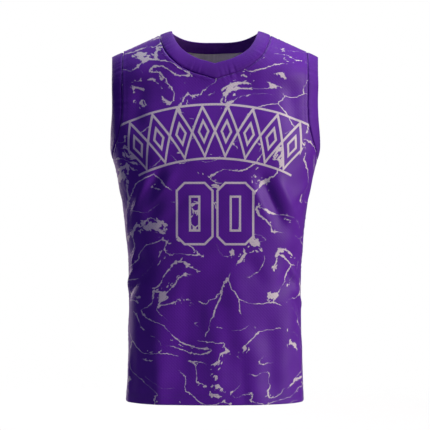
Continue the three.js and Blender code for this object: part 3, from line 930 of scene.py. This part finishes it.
def rib_knit():
    """Rib knit, one plain and one purl in turn, dyed through. The ribs run across the band and catch the light."""
    material, tree, shader = new_material("rib_knit_purple")
    place = add(tree, "ShaderNodeUVMap", uv_map="cloth")
    split = add(tree, "ShaderNodeSeparateXYZ", {0: place})
    phase = add(tree, MATH, {0: split.outputs[0], 1: 2 * math.pi / RIB_PITCH}, operation="MULTIPLY")
    rib = add(tree, MATH, {0: phase}, operation="SINE")
    mottle = add(tree, NOISE, {"Vector": place, "Scale": 45.0, "Detail": 3.0})
    dye = add(tree, MIX, {"Factor": mottle, "A": linear("#42077c"), "B": linear("#4c0d8a")}, data_type="RGBA")
    bump = add(tree, "ShaderNodeBump", {"Height": rib, "Strength": 0.5, "Distance": 0.0003})
    tree.links.new(dye.outputs["Result"], shader.inputs["Base Color"])
    tree.links.new(bump.outputs[0], shader.inputs["Normal"])
    shader.inputs["Roughness"].default_value = 0.6
    shader.inputs["Specular IOR Level"].default_value = 0.18
    shader.inputs["Sheen Weight"].default_value = 0.18
    shader.inputs["Sheen Roughness"].default_value = 0.45
    shader.inputs["Sheen Tint"].default_value = linear(SHEEN_TINT)
    return material


def sewing_thread():
    """Spun polyester thread, dark purple, with the twist of its plies as fine slanting ridges 0.7 mm apart. It lies
    on the cloth as a row of short dark dashes."""
    material, tree, shader = new_material("sewing_thread_dark")
    place = add(tree, "ShaderNodeTexCoord")
    wave = add(tree, "ShaderNodeTexWave", {"Vector": place.outputs["Object"], "Scale": 900.0},
               bands_direction="DIAGONAL")
    bump = add(tree, "ShaderNodeBump", {"Height": wave, "Strength": 0.4, "Distance": 0.0001})
    tree.links.new(bump.outputs[0], shader.inputs["Normal"])
    shader.inputs["Base Color"].default_value = linear("#2c0c66")
    shader.inputs["Roughness"].default_value = 0.5
    return material


def build_jersey():
    front_print = printed_knit("printed_knit_front", FRONT_NUMBER, FRONT_ARCH, FRONT_MARBLE)
    back_print = printed_knit("printed_knit_back", BACK_NUMBER, BACK_ARCH, BACK_MARBLE)
    inside = wrong_side()
    rib = rib_knit()
    thread = sewing_thread()

    pieces = {
        "front_panel": panel("front_panel_cloth", 1, [front_print, inside]),
        "back_panel": panel("back_panel_cloth", -1, [back_print, inside]),
        "neckband": band("neckband_cloth", neck_ring("seam", BAND_STEPS), neck_ring("edge", BAND_STEPS), [rib]),
    }
    for node, side in (("right_arm_band", 1), ("left_arm_band", -1)):
        lines = [arm_ring(line, BAND_STEPS, side) for line in ("seam", "edge")]
        pieces[node] = band(node + "_cloth", *lines, [rib])

    # The rows beside the bands lie on the panels, away from the seam.
    neck_row = offset_places(*neck_ring("seam", 200), -TOPSTITCH_INSET)
    arm_rows = [offset_places(*arm_ring("seam", 260, side), -side * TOPSTITCH_INSET) for side in (1, -1)]
    around_hem = np.linspace(-math.pi / 2, math.pi / 2, 500)[5:-5]
    hem_rows = [
        (around_hem, np.full(len(around_hem), side * (HEM_RUN - HEM_ALLOWANCE + inset)))
        for side in (1, -1)
        for inset in HEM_ROW_INSETS
    ]
    rows = {"neck_topstitch": [neck_row], "armhole_topstitch": arm_rows, "hem_topstitch": hem_rows}
    return pieces, [stitches(name, lines, thread) for name, lines in rows.items()]


pieces, sewing = build_jersey()
for node_name, piece in pieces.items():
    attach(piece, "root")
    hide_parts(node_name)
for piece in sewing:
    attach(piece, "root")

# A pale floor under the hem that fades out to the white background
bpy.ops.object.select_all(action="DESELECT")
bpy.ops.mesh.primitive_circle_add(vertices=96, radius=2.4, fill_type="NGON", location=(0, 0, -0.88))
floor = bpy.context.object
floor.name = "floor"
floor_paint, floor_tree, floor_shader = new_material("floor_white_paint")
floor_shader.inputs["Base Color"].default_value = linear("#f4f4f6")
floor_shader.inputs["Roughness"].default_value = 0.9
spot = add(floor_tree, "ShaderNodeTexCoord")
away = add(floor_tree, VECTOR_MATH, {0: spot.outputs["Object"]}, operation="LENGTH")
fade = add(floor_tree, "ShaderNodeMapRange", {"Value": away.outputs["Value"], "From Min": 0.2, "From Max": 1.6,
                                              "To Min": 0.3, "To Max": 0.0}, interpolation_type="SMOOTHSTEP")
floor_tree.links.new(fade.outputs[0], floor_shader.inputs["Alpha"])
floor.data.materials.append(floor_paint)


def area_light(name, location, target, size, power, colour="#ffffff"):
    data = bpy.data.lights.new(name, "AREA")
    data.shape = "SQUARE"
    data.size = size
    data.energy = power
    data.color = linear(colour)[:3]
    light = bpy.data.objects.new(name, data)
    light.location = location
    light.rotation_euler = (Vector(target) - Vector(location)).to_track_quat("-Z", "Y").to_euler()
    bpy.context.scene.collection.objects.link(light)
    return light


# A raking light from the right draws the folds, as in the photograph, and another does so on the back. The overhead
# and the fill are weak.
middle = (0, 0, -0.36)
area_light("key", (3.0, -1.6, 0.6), middle, 1.0, 158, "#fff0e4")
area_light("overhead", (0.2, -0.1, 1.5), (0, 0, -0.05), 0.6, 25)
area_light("fill", (-1.6, -2.8, 0.2), middle, 2.0, 11, "#c4b4ff")
area_light("back_key", (-1.9, 2.3, 0.5), middle, 0.8, 84, "#fff0e4")

# The camera sees plain white, and the cloth is lit by a dim lilac sky.
world = bpy.data.worlds.new("studio")
bpy.context.scene.world = world
world.use_nodes = True
sky = world.node_tree
ray = add(sky, "ShaderNodeLightPath")
seen = sky.nodes["Background"]
seen.inputs["Color"].default_value = (1, 1, 1, 1)
seen.inputs["Strength"].default_value = 1.0
soft = add(sky, "ShaderNodeBackground", {"Color": linear("#c9bcff"), "Strength": 0.14})
mixed = add(sky, "ShaderNodeMixShader", {0: ray.outputs["Is Camera Ray"], 1: soft, 2: seen})
sky.links.new(mixed.outputs[0], sky.nodes["World Output"].inputs["Surface"])

scene = bpy.context.scene
scene.view_settings.view_transform = "Standard"

# The photograph looks straight on from far away.
LENS = 130
CAMERA_DISTANCE = 3.28
AIM = (0.0, (cad_low.z + cad_high.z) / 2)
camera_data = bpy.data.cameras.new("camera")
camera_data.lens = LENS
camera = bpy.data.objects.new("camera", camera_data)
camera.location = (AIM[0], -CAMERA_DISTANCE, AIM[1])
camera.rotation_euler = (math.pi / 2, 0, 0)
scene.collection.objects.link(camera)
scene.camera = camera
